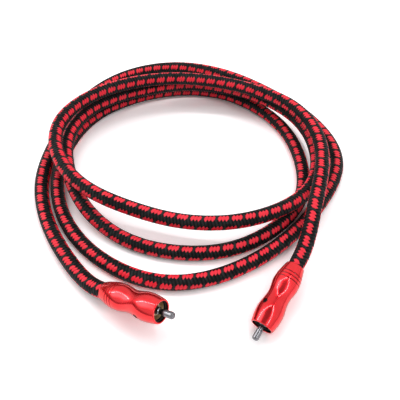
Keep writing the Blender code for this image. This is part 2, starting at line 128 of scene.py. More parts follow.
def smoothLine(points, leave, arrive, cuts):
    # a cubic spline through the points, with both end directions given
    gaps = np.linalg.norm(np.diff(points, axis=0), axis=1)
    slopes = np.diff(points, axis=0) / gaps[:, None]
    count = len(points)
    system = np.zeros((count, count))
    target = np.zeros((count, 3))
    system[0, :2] = 2 * gaps[0], gaps[0]
    system[-1, -2:] = gaps[-1], 2 * gaps[-1]
    target[0] = 6 * (slopes[0] - leave)
    target[-1] = 6 * (arrive - slopes[-1])
    for i in range(1, count - 1):
        system[i, i - 1:i + 2] = gaps[i - 1], 2 * (gaps[i - 1] + gaps[i]), gaps[i]
        target[i] = 6 * (slopes[i] - slopes[i - 1])
    bends = np.linalg.solve(system, target)
    line = []
    for i in range(count - 1):
        for cut in range(cuts):
            b = cut / cuts
            a = 1 - b
            bulge = (a ** 3 - a) * bends[i] + (b ** 3 - b) * bends[i + 1]
            line.append(a * points[i] + b * points[i + 1] + bulge * gaps[i] ** 2 / 6)
    line.append(points[-1])
    return np.array(line)


# small helpers
def deselectAll():
    if bpy.context.object and bpy.context.object.mode != "OBJECT":
        bpy.ops.object.mode_set(mode="OBJECT")
    bpy.ops.object.select_all(action="DESELECT")


def useOnly(piece):
    deselectAll()
    piece.select_set(True)
    bpy.context.view_layer.objects.active = piece


def addNode(tree, kind, **settings):
    node = tree.nodes.new(kind)
    for name, value in settings.items():
        setattr(node, name, value)
    return node


def join(tree, source, target):
    if isinstance(source, (int, float, tuple)):
        target.default_value = source
    else:
        tree.links.new(source, target)


def calc(tree, operation, *values):
    node = addNode(tree, "ShaderNodeMath", operation=operation)
    for value, socket in zip(values, node.inputs):
        join(tree, value, socket)
    return node.outputs[0]


def ramp(tree, value, low, high, outLow=0.0, outHigh=1.0, smooth=True):
    node = addNode(tree, "ShaderNodeMapRange")
    if smooth:
        node.interpolation_type = "SMOOTHSTEP"
    for number, given in enumerate((value, low, high, outLow, outHigh)):
        join(tree, given, node.inputs[number])
    return node.outputs[0]


def blendColour(tree, share, first, second):
    # a mix node's colour sockets share their names with others, so they go by number
    node = addNode(tree, "ShaderNodeMix", data_type="RGBA")
    join(tree, share, node.inputs[0])
    join(tree, first, node.inputs[6])
    join(tree, second, node.inputs[7])
    return node.outputs[2]


def newMaterial(name, roughness, metallic=0.0):
    material = bpy.data.materials.new(name)
    material.use_nodes = True
    shader = material.node_tree.nodes["Principled BSDF"]
    shader.inputs["Roughness"].default_value = roughness
    shader.inputs["Metallic"].default_value = metallic
    return material, material.node_tree, shader


def newGroup(name, inputs, outputs):
    group = bpy.data.node_groups.new(name, "ShaderNodeTree")
    for label, value in inputs:
        socket = group.interface.new_socket(label, in_out="INPUT", socket_type="NodeSocketFloat")
        socket.default_value = value
    for label in outputs:
        group.interface.new_socket(label, in_out="OUTPUT", socket_type="NodeSocketFloat")
    return group, group.nodes.new("NodeGroupInput"), group.nodes.new("NodeGroupOutput")


def useGroup(tree, group, **values):
    node = addNode(tree, "ShaderNodeGroup", node_tree=group)
    for label, value in values.items():
        join(tree, value, node.inputs[label])
    return node


def bumpInto(tree, shader, height, strength, distance):
    bump = addNode(tree, "ShaderNodeBump")
    bump.inputs["Strength"].default_value = strength
    bump.inputs["Distance"].default_value = distance
    join(tree, height, bump.inputs["Height"])
    join(tree, bump.outputs[0], shader.inputs["Normal"])


# braided lead
braid = {
    "diameter": 8.0 * mm,
    "entryDiameter": 7.5 * mm,  # where it goes into a plug
    "strandPitch": 1.74 * mm,   # along the lead, one strand to the next
    "rows": 4,                  # of red floats round the lead
    "floatReach": 1.86 * mm,    # half length of a float where it shows
    "strandRelief": 0.04 * mm,
    "rowRelief": 0.06 * mm,
    "sides": 32,
    "rowMiddle": 0.125,         # where a row's middle lies round the weave's own map
    "rowTurn": (                # metres along, and how far round from the top a row lies, in degrees
        (0.00, 78), (0.05, 68), (0.09, 92), (0.15, 102), (0.21, 125), (0.25, 146),
        (0.29, 182), (0.41, 184), (0.52, 179), (0.55, 210), (0.58, 246), (0.63, 262),
        (0.65, 280), (0.71, 332), (0.75, 362), (0.83, 358), (0.87, 384), (0.95, 403),
        (0.99, 440), (1.03, 458), (1.07, 486), (1.13, 490), (1.17, 526), (1.23, 512),
        (1.29, 556), (1.35, 590), (1.39, 596), (1.43, 628), (1.49, 631), (1.53, 663),
        (1.58, 694), (1.62, 700), (1.70, 685), (1.74, 730), (1.79, 740), (1.83, 724),
    ),
}
bakeMap = {
    "strips": 9,                # the tube is laid out in strips,
    "used": 0.96,               # over this much of the map's height,
    "gap": 0.002,
    "capRadius": 0.015,         # with both end caps as discs above them
    "firstCap": (0.02, 0.98),
    "lastCap": (0.06, 0.98),
}


def braidLine():
    headA, headB = plugHeading("a"), plugHeading("b")
    free = smoothLine(routePoints(), -headA, headB, route["cuts"])
    reach = route["insideShell"]
    line = np.vstack((np.array(plugs["a"]["rear"]) + reach * headA, free,
                      np.array(plugs["b"]["rear"]) + reach * headB))
    walked = np.concatenate(([0], np.cumsum(np.linalg.norm(np.diff(line, axis=0), axis=1))))
    steps = round(walked[-1] / (braid["strandPitch"] / 2))
    marks = np.linspace(0, walked[-1], steps + 1)
    return marks, np.column_stack([np.interp(marks, walked, line[:, i]) for i in range(3)])


def makeBraidedLead():
    marks, line = braidLine()
    sides = braid["sides"]
    outOfShell = marks - route["insideShell"] - route["straightOut"]
    twist = braid["rowMiddle"] - np.interp(outOfShell, *zip(*braid["rowTurn"])) / 360
    ahead = np.gradient(line, axis=0)
    ahead /= np.linalg.norm(ahead, axis=1)[:, None]
    inward = np.cross(ahead, (0, 0, 1))
    inward /= np.linalg.norm(inward, axis=1)[:, None]
    upward = np.cross(inward, ahead)
    turn = np.arange(sides) / sides
    around = turn[None, :] + twist[:, None]
    along = marks[:, None] / braid["strandPitch"]
    free = np.minimum(marks, marks[-1] - marks) - route["insideShell"]
    squeeze = np.clip(free / route["straightOut"], 0, 1)
    radius = (braid["entryDiameter"] + (braid["diameter"] - braid["entryDiameter"]) * squeeze) / 2
    strand = np.cos(math.tau * (around * braid["rows"] + along))
    row = np.cos(math.tau * around * braid["rows"])
    radius = radius[:, None] - braid["strandRelief"] * (1 + strand) / 2 - braid["rowRelief"] * (1 + row) / 2
    angle = math.tau * turn[None, :, None]
    rings = line[:, None, :] + radius[:, :, None] * (
        np.cos(angle) * upward[:, None, :] + np.sin(angle) * inward[:, None, :])
    rings[:, :, 2] = np.maximum(rings[:, :, 2], 0)   # flat where it lies on the table
    count = len(line)
    corner = np.arange(count * sides).reshape(count, sides)
    nextSide = np.roll(corner, -1, axis=1)
    quads = np.stack((corner[:-1], corner[1:], nextSide[1:], nextSide[:-1]), axis=-1).reshape(-1, 4)
    faces = quads.tolist() + [corner[0].tolist(), corner[-1][::-1].tolist()]
    mesh = bpy.data.meshes.new("braidedLead")
    mesh.from_pydata(rings.reshape(-1, 3).tolist(), [], faces)
    lead = bpy.data.objects.new("braidedLead", mesh)
    bpy.context.scene.collection.objects.link(lead)

    # the weave's own map: once round is 1, and one strand along is 1
    weave = mesh.uv_layers.new(name="weave")
    u = np.append(turn, 1.0)[None, :] + twist[:, None]
    v = np.broadcast_to(along, (count, sides + 1))
    grid = np.stack((u, v), axis=-1)
    corners = np.stack((grid[:-1, :-1], grid[1:, :-1], grid[1:, 1:], grid[:-1, 1:]), axis=2).reshape(-1, 2)
    caps = np.zeros((2 * sides, 2))
    weave.uv.foreach_set("vector", np.vstack((corners, caps)).astype(np.float32).ravel())

    # the map for baking
    strips, used, gap = bakeMap["strips"], bakeMap["used"], bakeMap["gap"]
    perStrip = math.ceil((count - 1) / strips)
    ring = np.arange(count - 1)[:, None] + np.zeros((1, sides))
    strip = ring // perStrip
    low = (ring - strip * perStrip) / perStrip * (1 - 2 * gap) + gap
    high = low + (1 - 2 * gap) / perStrip
    step = (used / strips - 2 * gap) / sides
    near = strip * used / strips + gap + np.arange(sides)[None, :] * step
    laid = np.stack((low, near, high, near, high, near + step, low, near + step), axis=-1).reshape(-1, 2)
    circle = bakeMap["capRadius"] * np.column_stack((np.cos(math.tau * turn), np.sin(math.tau * turn)))
    discs = np.vstack((circle + bakeMap["firstCap"], circle[::-1] + bakeMap["lastCap"]))
    baked = mesh.uv_layers.new(name="OFBake")
    baked.uv.foreach_set("vector", np.vstack((laid, discs)).astype(np.float32).ravel())
    useOnly(lead)
    bpy.ops.object.mode_set(mode="EDIT")
    bpy.ops.mesh.select_all(action="SELECT")
    bpy.ops.mesh.normals_make_consistent(inside=False)
    bpy.ops.object.mode_set(mode="OBJECT")
    bpy.ops.object.shade_smooth()
    print("braided lead made,", len(mesh.polygons), "faces")
    return lead, line


weaving = {
    "ground": 0.8,              # height of the strands between the floats
    "floatHeight": 1.2,
    "taper": 1.2,               # how much shorter a float is at its sides
    "shortest": 0.88,           # of the floats' usual length
    "longest": 1.12,
    "softEdge": 0.012,
    "redStrands": 3,            # in every four
    "redSpill": 0.07,           # of a strand, past each side of the three
    "threadRipple": 38.0,
    "threadHeight": 0.07,
    "chanceShade": 0.35,        # how far chance lightens a strand, as random tone, and height, as painted light on raised threads and painted shade on low ones
    "heightShade": 0.6,
}


def weaveGroup():
    group, given, result = newGroup("floatWeave", (("Around", 0.0), ("Along", 0.0)),
                                    ("Red", "Height", "ToneAndShade"))
    around, along = given.outputs[0], given.outputs[1]

    def fromMiddle(value):
        return calc(group, "SUBTRACT", calc(group, "FRACT", value), 0.5)

    def rounded(across):
        return calc(group, "SUBTRACT", 1.0, calc(group, "MULTIPLY", calc(group, "POWER", across, 2.0), 4.0))

    rows = calc(group, "MULTIPLY", around, float(braid["rows"]))
    row = calc(group, "FLOOR", calc(group, "MULTIPLY", calc(group, "FRACT", around), float(braid["rows"])))
    leaning = calc(group, "ADD", rows, along)
    strand = calc(group, "ADD", leaning, row)
    number = calc(group, "FLOOR", strand)
    across = fromMiddle(strand)
    arc = calc(group, "ABSOLUTE", fromMiddle(rows))
    counter = calc(group, "ADD", calc(group, "SUBTRACT", rows, along), 0.5)
    ground = calc(group, "MULTIPLY", rounded(fromMiddle(counter)), weaving["ground"])

    chance = addNode(group, "ShaderNodeTexWhiteNoise", noise_dimensions="2D")
    place = addNode(group, "ShaderNodeCombineXYZ")
    join(group, number, place.inputs[0])
    join(group, row, place.inputs[1])
    join(group, place.outputs[0], chance.inputs["Vector"])
    chance = chance.outputs["Value"]

    # a float is longest along its own middle, so each end comes to a point
    rowWidth = math.pi * braid["diameter"] / braid["rows"]
    shorter = calc(group, "MULTIPLY", calc(group, "ABSOLUTE", across), weaving["taper"])
    uneven = ramp(group, chance, 0.0, 1.0, weaving["shortest"], weaving["longest"], False)
    reach = calc(group, "MULTIPLY", calc(group, "SUBTRACT", 1.0, shorter), uneven)
    reach = calc(group, "MULTIPLY", reach, braid["floatReach"] / rowWidth)
    shows = ramp(group, calc(group, "SUBTRACT", reach, arc), -weaving["softEdge"], weaving["softEdge"])
    fourth = calc(group, "FLOORED_MODULO", calc(group, "ADD", strand, weaving["redSpill"]), 4.0)
    isRed = calc(group, "LESS_THAN", fourth, weaving["redStrands"] + 2 * weaving["redSpill"])
    top = calc(group, "MULTIPLY", rounded(across), weaving["floatHeight"])
    height = calc(group, "MULTIPLY_ADD", calc(group, "SUBTRACT", top, ground), shows, ground)
    ripple = calc(group, "SINE", calc(group, "MULTIPLY", across, weaving["threadRipple"]))
    threads = calc(group, "MULTIPLY", ripple, weaving["threadHeight"])
    join(group, calc(group, "MULTIPLY", shows, isRed), result.inputs["Red"])
    join(group, calc(group, "ADD", height, threads), result.inputs["Height"])
    # painted light and shade: height lightens raised threads and leaves low ones in painted shade; chance
    # adds random tone
    lifted = calc(group, "MULTIPLY", height, weaving["heightShade"])
    join(group, calc(group, "MULTIPLY_ADD", chance, weaving["chanceShade"], lifted), result.inputs["ToneAndShade"])
    return group


nylon = {
    "red": (0.88, 0.013, 0.036, 1),
    # painted shade: the red low in the weave, between the floats
    "redShaded": (0.38, 0.004, 0.012, 1),
    "redFrom": 0.0,             # the shades over which each colour lightens, from painted shade low in the weave to painted light on raised threads
    "redTo": 0.4,
    "black": (0.002, 0.0025, 0.003, 1),
    # painted sheen: the black on raised threads, also on strands made lighter by chance
    "blackLit": (0.018, 0.022, 0.022, 1),
    "blackFrom": 0.3,
    "blackTo": 0.9,
    "roughLow": 0.7,
    "roughHigh": 0.5,
    "shineBlack": 0.12,
    "shineRed": 0.42,
    "bump": 0.7,
    "bumpDepth": 0.25 * mm,
}


def braidMaterial():
    material, tree, shader = newMaterial("braidedNylon", nylon["roughLow"])
    weave = addNode(tree, "ShaderNodeUVMap", uv_map="weave")
    split = addNode(tree, "ShaderNodeSeparateXYZ")
    join(tree, weave.outputs[0], split.inputs[0])
    pattern = useGroup(tree, weaveGroup(), Around=split.outputs[0], Along=split.outputs[1])
    toneAndShade = pattern.outputs["ToneAndShade"]
    isRed = pattern.outputs["Red"]
    # painted shade low in the weave and painted light on raised threads, mixed with random tone
    redLight = ramp(tree, toneAndShade, nylon["redFrom"], nylon["redTo"])
    blackLight = ramp(tree, toneAndShade, nylon["blackFrom"], nylon["blackTo"])
    red = blendColour(tree, redLight, nylon["redShaded"], nylon["red"])
    black = blendColour(tree, blackLight, nylon["black"], nylon["blackLit"])
    join(tree, blendColour(tree, isRed, black, red), shader.inputs["Base Color"])
    join(tree, ramp(tree, toneAndShade, 0.0, 1.0, nylon["roughLow"], nylon["roughHigh"]), shader.inputs["Roughness"])
    join(tree, ramp(tree, isRed, 0.0, 1.0, nylon["shineBlack"], nylon["shineRed"]),
         shader.inputs["Specular IOR Level"])
    bumpInto(tree, shader, pattern.outputs["Height"], nylon["bump"], nylon["bumpDepth"])
    return material


lead, leadLine = makeBraidedLead()
lead.data.materials.append(braidMaterial())
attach(lead, "lead")
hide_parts("cable_coil", "cable_lead_a", "cable_lead_b")

# finishes
finish = {
    "shellRed": (0.78, 0.007, 0.013, 1),
    "shellRedPale": (0.90, 0.018, 0.026, 1),
    "shellEdge": (0.35, 0.04, 0.05, 1),
    "gold": (0.92, 0.76, 0.54, 1),
    "goldWorn": (0.74, 0.58, 0.38, 1),
    "nickel": (0.21, 0.205, 0.22, 1),
    "nickelDull": (0.12, 0.115, 0.13, 1),
    "steel": (0.02, 0.02, 0.02, 1),
    "steelWorn": (0.05, 0.05, 0.05, 1),
    # painted shade for the shell's bores, grooves and screw hole, not a finish of the metal
    "hollow": (0.012, 0.004, 0.005, 1),
    "nylon": (0.012, 0.012, 0.013, 1),
    "jacket": (0.02, 0.02, 0.02, 1),
    "foam": (0.78, 0.78, 0.74, 1),
    "copper": (0.75, 0.35, 0.2, 1),
}
wear = {
    "cloudDetail": 4.0,
    "grainDetail": 2.0,
    "grainSize": 12.0,          # how many times finer than the clouds
    "marksFrom": 0.42,
    "marksTo": 0.68,
    "roughPlain": 0.85,         # of the finish's own roughness
    "roughMarked": 1.2,
    "coatRoughness": 0.1,
    "grainDepth": 0.05 * mm,
}


def handledGroup():
    group, given, result = newGroup("handledSurface", (("Size", 1.0), ("Amount", 1.0)), ("Marks", "Grain"))
    places = addNode(group, "ShaderNodeTexCoord").outputs["Object"]
    cloud = addNode(group, "ShaderNodeTexNoise")
    cloud.inputs["Detail"].default_value = wear["cloudDetail"]
    fine = addNode(group, "ShaderNodeTexNoise")
    fine.inputs["Detail"].default_value = wear["grainDetail"]
    join(group, places, cloud.inputs["Vector"])
    join(group, places, fine.inputs["Vector"])
    join(group, given.outputs["Size"], cloud.inputs["Scale"])
    join(group, calc(group, "MULTIPLY", given.outputs["Size"], wear["grainSize"]), fine.inputs["Scale"])
    marks = ramp(group, cloud.outputs[0], wear["marksFrom"], wear["marksTo"])
    join(group, calc(group, "MULTIPLY", marks, given.outputs["Amount"]), result.inputs["Marks"])
    join(group, fine.outputs[0], result.inputs["Grain"])
    return group


handled = handledGroup()


def surfaceMaterial(name, plain, marked, roughness, metallic=0.0, size=220.0, coat=0.0, bump=0.02,
                    edgeTint=(1, 1, 1, 1)):
    material, tree, shader = newMaterial(name, roughness, metallic)
    worn = useGroup(tree, handled, Size=size, Amount=1.0)
    colour = plain if marked == plain else blendColour(tree, worn.outputs["Marks"], plain, marked)
    join(tree, colour, shader.inputs["Base Color"])
    rough = ramp(tree, worn.outputs["Marks"], 0.0, 1.0, roughness * wear["roughPlain"],
                 roughness * wear["roughMarked"], False)
    join(tree, rough, shader.inputs["Roughness"])
    shader.inputs["Coat Weight"].default_value = coat
    shader.inputs["Coat Roughness"].default_value = wear["coatRoughness"]
    shader.inputs["Specular Tint"].default_value = edgeTint
    bumpInto(tree, shader, worn.outputs["Grain"], bump, wear["grainDepth"])
    return material


def paintHollowShade(material):
    # painted shade: bores, groove floors and the screw's hole are coloured dark where shade falls, where an
    # attribute on the mesh marks them
    tree = material.node_tree
    shader = tree.nodes["Principled BSDF"]
    plain = shader.inputs["Base Color"].links[0].from_socket
    hollow = addNode(tree, "ShaderNodeAttribute", attribute_name="hollow")
    join(tree, blendColour(tree, hollow.outputs["Fac"], plain, finish["hollow"]), shader.inputs["Base Color"])
    return material


materials = {
    # the red shell, with painted shade in its bores, grooves and screw hole
    "red_shell": paintHollowShade(
        surfaceMaterial("anodisedRed", finish["shellRed"], finish["shellRedPale"], 0.22, metallic=0.95,
                        size=90.0, coat=0.8, edgeTint=finish["shellEdge"])),
    "gold_plate": surfaceMaterial("goldPlate", finish["gold"], finish["goldWorn"], 0.4, metallic=1.0),
    "nickel": surfaceMaterial("nickelPlate", finish["nickel"], finish["nickelDull"], 0.28, metallic=1.0),
    "dark_steel": surfaceMaterial("blackenedSteel", finish["steel"], finish["steelWorn"], 0.45,
                                  metallic=1.0, size=900.0),
    "black_nylon": surfaceMaterial("blackNylon", finish["nylon"], finish["jacket"], 0.42,
                                   size=400.0, bump=0.1),
    "black_jacket": surfaceMaterial("cableJacket", finish["jacket"], finish["nylon"], 0.6,
                                    size=300.0, bump=0.2),
    "clear_foam": surfaceMaterial("coreFoam", finish["foam"], finish["foam"], 0.55, size=500.0, bump=0.3),
    "copper": surfaceMaterial("bareCopper", finish["copper"], finish["goldWorn"], 0.3,
                              metallic=1.0, size=700.0),
}


def turnPiece(name, profile, sides, solid=False):
    # rings are extruded along the profile's (place, radius) points, starting from a circle
    deselectAll()
    place, radius = profile[0]
    bpy.ops.mesh.primitive_circle_add(vertices=sides, radius=radius, location=(0, 0, 0))
    piece = bpy.context.object
    piece.name = name
    bpy.ops.object.mode_set(mode="EDIT")
    bpy.ops.mesh.select_all(action="SELECT")
    bpy.ops.transform.translate(value=(0, 0, place))
    if solid:
        bpy.ops.mesh.edge_face_add()
        bpy.ops.mesh.select_all(action="SELECT")
    for (near, wide), (far, narrow) in zip(profile, profile[1:]):
        bpy.ops.mesh.extrude_region_move(TRANSFORM_OT_translate={"value": (0, 0, far - near)})
        share = narrow / wide
        bpy.ops.transform.resize(value=(share, share, 1), center_override=(0, 0, far))
    bpy.ops.mesh.select_all(action="SELECT")
    bpy.ops.mesh.remove_doubles(threshold=weld)
    bpy.ops.mesh.normals_make_consistent(inside=False)
    bpy.ops.object.mode_set(mode="OBJECT")
    return piece


def cutWith(piece, tool):
    useOnly(piece)
    cut = piece.modifiers.new("cut", "BOOLEAN")
    cut.object = tool
    cut.solver = "EXACT"
    bpy.ops.object.modifier_apply(modifier="cut")
    bpy.data.objects.remove(tool, do_unlink=True)


def seat(piece, tag, body, slot, nodes, turn=0.0, smoothAngle=35):
    piece.data.transform(plugPlace(tag, turn))
    useOnly(piece)
    bpy.ops.object.shade_smooth_by_angle(angle=math.radians(smoothAngle))
    piece.data.materials.clear()
    piece.data.materials.append(materials[slot])
    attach(piece, body)
    if nodes:
        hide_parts(*nodes)


shell = {
    "rearBulgeAt": 10.1 * mm, "waistAt": 17.3 * mm, "frontBulgeAt": 26.1 * mm, "mouth": 33.6 * mm,
    "rear": 4.65 * mm, "rearBulge": 6.35 * mm, "waist": 5.45 * mm, "frontBulge": 6.5 * mm,
    "mouthRadius": 5.15 * mm, "nose": 5.6 * mm, "lipRear": 32.9 * mm, "lipBore": 4.7 * mm,
    "entryBore": 4.05 * mm, "threadBore": 5.0 * mm, "openBore": 5.3 * mm, "flangeBore": 5.8 * mm,
    "threadRear": 5.9 * mm, "threadFront": 20.1 * mm, "flangeRear": 27.8 * mm, "flangeFront": 29.6 * mm,
    "threadRunout": 0.6 * mm, "entryLength": 0.2 * mm, "entryFlare": 0.15 * mm,
    "edge": 0.12 * mm, "ringStep": 0.45 * mm, "sides": 96, "smoothAngle": 28,
    "grooves": (5.05 * mm, 6.85 * mm, 8.65 * mm), "grooveWidth": 0.5 * mm, "grooveDepth": 0.3 * mm,
    "grooveClear": 0.75,        # of a groove's width, from its middle to the plain turning
    # shares of the groove's width from its middle, and of its depth
    "grooveShape": ((-0.5, 0), (-0.4, 0.25), (-0.2, 0.85), (0, 1), (0.2, 0.85), (0.4, 0.25), (0.5, 0)),
    # shares of the edge forward from the rear face, and inward from the outline
    "rolledRear": ((2.0, 0.0), (1.0, 0.08), (0.4, 0.35), (0.0, 0.8)),
    # and back from the mouth, and outward from the lip's bore
    "rolledLip": ((0.0, 0.8), (0.3, 0.2), (1.0, 0.0)),
    "noseTurns": (0, 20, 40, 55, 70, 82, 90),
    "holeAt": 23.3 * mm, "holeRadius": 1.15 * mm, "holeSides": 48, "sink": 0.2 * mm,
    "drillFrom": 0.8,           # of the open bore's radius
    "drillTo": 1.3,             # of the outside's
    "darkDepth": 0.15 * mm,     # surfaces deeper than this get painted shade, from and to these places
    "darkFrom": 1.41 * mm, "darkTo": 33.5 * mm,
}


def shellRadius(at):
    if at < shell["rearBulgeAt"]:
        return shell["rear"] + (shell["rearBulge"] - shell["rear"]) * math.sin(
            math.pi / 2 * at / shell["rearBulgeAt"])
    if at < shell["waistAt"]:
        low, high, start, end = shell["rearBulgeAt"], shell["waistAt"], shell["rearBulge"], shell["waist"]
    elif at < shell["frontBulgeAt"]:
        low, high, start, end = shell["waistAt"], shell["frontBulgeAt"], shell["waist"], shell["frontBulge"]
    elif at < shell["lipRear"]:
        share = (at - shell["frontBulgeAt"]) / (shell["lipRear"] - shell["frontBulgeAt"])
        return shell["nose"] + (shell["frontBulge"] - shell["nose"]) * math.cos(math.pi / 2 * share)
    else:
        share = min((at - shell["lipRear"]) / (shell["mouth"] - shell["lipRear"]), 1)
        return shell["mouthRadius"] + (shell["nose"] - shell["mouthRadius"]) * math.sqrt(1 - share ** 2)
    return start + (end - start) * (1 - math.cos(math.pi * (at - low) / (high - low))) / 2


def shellProfile():
    edge = shell["edge"]
    outline = []
    clear = shell["grooveWidth"] * shell["grooveClear"]
    for at in np.arange(edge * 3, shell["lipRear"], shell["ringStep"]):
        if all(abs(at - groove) > clear for groove in shell["grooves"]):
            outline.append((float(at), shellRadius(at)))
    for groove in shell["grooves"]:
        for off, depth in shell["grooveShape"]:
            at = groove + off * shell["grooveWidth"]
            outline.append((at, shellRadius(at) - depth * shell["grooveDepth"]))
    outline.sort()
    for off, drop in shell["rolledRear"]:
        outline.insert(0, (off * edge, shellRadius(off * edge) - drop * edge))
    for turn in np.radians(shell["noseTurns"]):
        at = shell["lipRear"] + (shell["mouth"] - shell["lipRear"]) * float(np.sin(turn))
        outline.append((at, shellRadius(at)))
    mouth, lip, bore, entry = shell["mouth"], shell["lipBore"], shell["openBore"], shell["entryBore"]
    rolledLip = [(mouth - back * edge, lip + out * edge) for back, out in shell["rolledLip"]]
    inside = [
        (shell["lipRear"], lip), (shell["lipRear"], bore),
        (shell["flangeFront"], bore), (shell["flangeFront"], shell["flangeBore"]),
        (shell["flangeRear"], shell["flangeBore"]), (shell["flangeRear"], bore),
        (shell["threadFront"], bore), (shell["threadFront"], shell["threadBore"]),
        (shell["threadRear"], shell["threadBore"]), (shell["threadRear"] - shell["threadRunout"], entry),
        (shell["entryLength"], entry), (0.0, entry + shell["entryFlare"]),
    ]
    return outline + rolledLip + inside + [outline[0]]


def makeShell(tag):
    piece = turnPiece(f"turnedShell{tag.upper()}", shellProfile(), shell["sides"])
    top, hole, sink = shellRadius(shell["holeAt"]), shell["holeRadius"], shell["sink"]
    drill = (shell["openBore"] * shell["drillFrom"], top * shell["drillTo"], hole)
    countersink = (top - sink, top + sink, hole + 2 * sink)
    for low, high, wide in (drill, countersink):
        deselectAll()
        bpy.ops.mesh.primitive_cone_add(vertices=shell["holeSides"], radius1=hole, radius2=wide,
                                        depth=high - low, location=((low + high) / 2, 0, shell["holeAt"]),
                                        rotation=(0, math.pi / 2, 0))
        cutWith(piece, bpy.context.object)
    # mark where the painted shade goes
    markPaintedShade(piece)
    seat(piece, tag, f"lock_shell_{tag}", "red_shell", [f"shell_{tag}"], plugs[tag]["screwTurn"],
         shell["smoothAngle"])
    return piece


def markPaintedShade(piece):
    # points below the outline, between the given places, get painted shade
    hollow = piece.data.attributes.new("hollow", "FLOAT", "POINT")
    for vertex, mark in zip(piece.data.vertices, hollow.data):
        at = vertex.co.z
        depth = shellRadius(at) - math.hypot(vertex.co.x, vertex.co.y)
        mark.value = float(depth > shell["darkDepth"] and shell["darkFrom"] < at < shell["darkTo"])


lock = {
    "front": 32.6 * mm, "rear": 28.1 * mm, "bore": 4.7 * mm, "outside": 5.0 * mm, "flange": 5.5 * mm,
    "flangeFront": 29.3 * mm, "lipRear": 32.3 * mm, "lipBore": 4.3 * mm, "edge": 0.08 * mm, "sides": 96,
    "turn": 30.0,
}


def makeLockRing(tag):
    edge = lock["edge"]
    profile = [
        (lock["front"], lock["outside"] - edge), (lock["front"] - edge, lock["outside"]),
        (lock["flangeFront"], lock["outside"]), (lock["flangeFront"], lock["flange"]),
        (lock["rear"], lock["flange"]), (lock["rear"], lock["bore"]), (lock["lipRear"], lock["bore"]),
        (lock["lipRear"], lock["lipBore"]), (lock["front"] - edge, lock["lipBore"]),
        (lock["front"], lock["lipBore"] + edge), (lock["front"], lock["outside"] - edge),
    ]
    piece = turnPiece(f"nylonRing{tag.upper()}", profile, lock["sides"])
    seat(piece, tag, f"lock_ring_{tag}", "black_nylon", [f"squeeze_ring_{tag}"], lock["turn"])
    return piece


sleeve = {
    "rear": 25.5 * mm, "front": 31.4 * mm, "bore": 4.1 * mm, "outside": 4.4 * mm, "bead": 0.12 * mm,
    "slotFrom": 26.8 * mm, "slotPast": 1.0 * mm, "slotWidth": 1.0 * mm, "sides": 96, "turn": 30.0,
}


def makeSleeve(tag):
    bead = sleeve["bead"]
    profile = [
        (sleeve["front"], sleeve["outside"] - bead), (sleeve["front"] - bead, sleeve["outside"]),
        (sleeve["rear"], sleeve["outside"]), (sleeve["rear"], sleeve["bore"]),
        (sleeve["front"] - 2 * bead, sleeve["bore"]), (sleeve["front"], sleeve["bore"] + bead),
        (sleeve["front"], sleeve["outside"] - bead),
    ]
    piece = turnPiece(f"slottedSleeve{tag.upper()}", profile, sleeve["sides"])
    low, high = sleeve["slotFrom"], sleeve["front"] + sleeve["slotPast"]
    for turn in (0, math.pi / 2):
        deselectAll()
        bpy.ops.mesh.primitive_cube_add(size=1, location=(0, 0, (low + high) / 2), rotation=(0, 0, turn),
                                        scale=(4 * sleeve["outside"], sleeve["slotWidth"], high - low))
        cutWith(piece, bpy.context.object)
    seat(piece, tag, "lead", "gold_plate", [f"contact_sleeve_{tag}"], sleeve["turn"])
    return piece


pin = {
    "rear": 14.1 * mm, "step": 19.0 * mm, "shank": 1.3 * mm, "radius": 1.6 * mm, "tip": 40.4 * mm,
    "cupBore": 0.8 * mm, "cupFloor": 17.1 * mm, "neck": 1.3 * mm, "neckFrom": 32.9 * mm,
    "neckTo": 35.3 * mm, "neckStep": 0.3 * mm, "round": 1.1 * mm, "noseTurns": (90, 75, 60, 45, 30, 15, 0),
    "sides": 64,
}


def makePin(tag):
    nose = [(pin["tip"] - pin["round"] * (1 - math.cos(a)), pin["radius"] - pin["round"] * (1 - math.sin(a)))
            for a in np.radians(pin["noseTurns"])]
    profile = [(pin["cupFloor"], pin["cupBore"]), (pin["rear"], pin["cupBore"]), (pin["rear"], pin["shank"]),
               (pin["step"], pin["shank"]), (pin["step"], pin["radius"]),
               (pin["neckFrom"] - pin["neckStep"], pin["radius"]), (pin["neckFrom"], pin["neck"]),
               (pin["neckTo"], pin["neck"]), (pin["neckTo"] + pin["neckStep"], pin["radius"])] + nose
    piece = turnPiece(f"roundNosedPin{tag.upper()}", profile, pin["sides"], solid=True)
    seat(piece, tag, "lead", "nickel", [f"centre_pin_{tag}"])
    return piece


collar = {
    "rear": 28.3 * mm, "front": 30.8 * mm, "bore": 1.9 * mm, "outside": 2.6 * mm, "edge": 0.2 * mm,
    "sides": 64,
}


def makeCollar(tag):
    edge = collar["edge"]
    profile = [
        (collar["front"], collar["outside"] - edge), (collar["front"] - edge, collar["outside"]),
        (collar["rear"], collar["outside"]), (collar["rear"], collar["bore"]),
        (collar["front"] - edge, collar["bore"]), (collar["front"], collar["bore"] + edge / 2),
        (collar["front"], collar["outside"] - edge),
    ]
    piece = turnPiece(f"goldCollar{tag.upper()}", profile, collar["sides"])
    seat(piece, tag, "lead", "gold_plate", [f"pin_collar_{tag}"])
    return piece


holder = {
    "rear": 15.5 * mm, "step": 18.7 * mm, "flangeRear": 27.3 * mm, "front": 28.0 * mm,
    "shankBore": 1.6 * mm, "bore": 1.9 * mm, "body": 3.0 * mm, "flange": 3.8 * mm, "edge": 0.1 * mm,
    "sides": 96,
}


